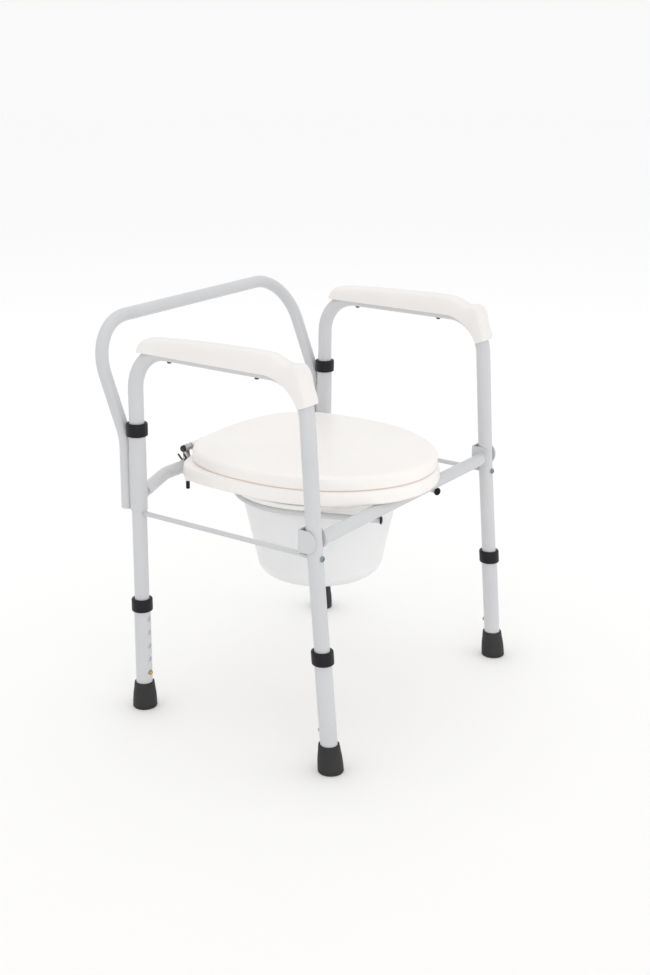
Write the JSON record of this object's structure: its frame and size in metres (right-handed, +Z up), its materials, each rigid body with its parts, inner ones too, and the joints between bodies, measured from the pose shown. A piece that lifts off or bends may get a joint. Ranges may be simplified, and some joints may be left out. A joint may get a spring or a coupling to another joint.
{
  "type": "commode chair",
  "caption": "Folding steel commode chair with padded arm rails, height-adjustable legs, a hinged seat and lid, and a lift-out pail under the seat.",
  "frame": {"origin": "bottom centre of the chair's bounding box, on the floor", "axes": "+Z up; the sitter faces -Y; +X is the sitter's left; the chair is symmetric about the plane x = 0"},
  "size_m": [0.5832, 0.5233, 0.6879],
  "materials": {
    "powder_coat": "pale grey powder coat, satin",
    "pad_plastic": "moulded, semi-gloss",
    "seat_plastic": "moulded, semi-gloss",
    "pail_plastic": "milky plastic, satin",
    "black_plastic": "moulded, satin",
    "black_rubber": "matt",
    "chrome": "polished",
    "zinc_plate": "zinc plated, satin",
    "brass": "turned, satin"
  },
  "bodies": {
    "frame": {"side_frame_left": "powder_coat", "side_frame_right": "powder_coat", "arm_pad_left": "pad_plastic", "arm_pad_right": "pad_plastic", "pad_screw_front_left": "zinc_plate", "pad_screw_front_right": "zinc_plate", "pad_screw_rear_left": "zinc_plate", "pad_screw_rear_right": "zinc_plate", "rear_sleeve_left": "powder_coat", "rear_sleeve_right": "powder_coat", "sleeve_collar_left": "black_plastic", "sleeve_collar_right": "black_plastic", "stop_rivet_left": "zinc_plate", "stop_rivet_right": "zinc_plate", "leg_rivet_left": "zinc_plate", "leg_rivet_right": "zinc_plate", "back_bar": "powder_coat", "rear_crossbar": "powder_coat", "front_crossbar": "powder_coat", "side_rod_left": "powder_coat", "side_rod_right": "powder_coat", "rod_bolt_left": "zinc_plate", "rod_bolt_right": "zinc_plate", "hook_bracket_left": "powder_coat", "hook_bracket_right": "powder_coat", "pail_ring": "powder_coat", "ring_cap_left": "black_plastic", "ring_cap_right": "black_plastic", "pivot_strap_left": "powder_coat", "pivot_strap_right": "powder_coat", "hinge_rod": "chrome", "hinge_post_left": "chrome", "hinge_post_right": "chrome", "hinge_nut_left": "seat_plastic", "hinge_nut_right": "seat_plastic"},
    "seat": {"seat_ring": "seat_plastic"},
    "lid": {"lid": "seat_plastic"},
    "pail": {"pail": "pail_plastic"},
    "leg_front_right": {"leg_extension_front_right": "powder_coat", "leg_collar_front_right": "black_plastic", "rubber_tip_front_right": "black_rubber"},
    "leg_front_left": {"leg_extension_front_left": "powder_coat", "leg_collar_front_left": "black_plastic", "rubber_tip_front_left": "black_rubber"},
    "leg_rear_right": {"leg_extension_rear_right": "powder_coat", "leg_collar_rear_right": "black_plastic", "rubber_tip_rear_right": "black_rubber"},
    "leg_rear_left": {"leg_extension_rear_left": "powder_coat", "leg_collar_rear_left": "black_plastic", "rubber_tip_rear_left": "black_rubber"},
    "button_front_right": {"snap_button_front_right": "brass"},
    "button_front_left": {"snap_button_front_left": "brass"},
    "button_rear_right": {"snap_button_rear_right": "brass"},
    "button_rear_left": {"snap_button_rear_left": "brass"}
  },
  "joints": [
    {"name": "seat_raise", "type": "hinge", "parent": "frame", "child": "seat", "pos_m": [0, 0.1865, 0.4315], "axis": [1, 0, 0], "range_deg": [-96.8, 0]},
    {"name": "lid_open", "type": "hinge", "parent": "seat", "child": "lid", "pos_m": [0, 0.1865, 0.4315], "axis": [-1, 0, 0], "range_deg": [0, 96.8]},
    {"name": "pail_lift", "type": "slide", "parent": "frame", "child": "pail", "axis": [0, 0, 1], "range_m": [0, 0.013]},
    {"name": "leg_adjust_front_right", "type": "slide", "parent": "frame", "child": "leg_front_right", "axis": [0, -0.082, -0.9966], "range_m": [0, 0.1016]},
    {"name": "leg_adjust_front_left", "type": "slide", "parent": "frame", "child": "leg_front_left", "axis": [0, -0.082, -0.9966], "range_m": [0, 0.1016]},
    {"name": "leg_adjust_rear_right", "type": "slide", "parent": "frame", "child": "leg_rear_right", "axis": [0, 0.0156, -0.9999], "range_m": [0, 0.1016]},
    {"name": "leg_adjust_rear_left", "type": "slide", "parent": "frame", "child": "leg_rear_left", "axis": [0, 0.0156, -0.9999], "range_m": [0, 0.1016]},
    {"name": "button_press_front_right", "type": "slide", "parent": "leg_front_right", "child": "button_front_right", "axis": [0, -1, 0], "range_m": [0, 0.0064], "stiffness_N_per_m": 600},
    {"name": "button_press_front_left", "type": "slide", "parent": "leg_front_left", "child": "button_front_left", "axis": [0, -1, 0], "range_m": [0, 0.0064], "stiffness_N_per_m": 600},
    {"name": "button_press_rear_right", "type": "slide", "parent": "leg_rear_right", "child": "button_rear_right", "axis": [0, 1, 0], "range_m": [0, 0.0064], "stiffness_N_per_m": 600},
    {"name": "button_press_rear_left", "type": "slide", "parent": "leg_rear_left", "child": "button_rear_left", "axis": [0, 1, 0], "range_m": [0, 0.0064], "stiffness_N_per_m": 600}
  ]
}
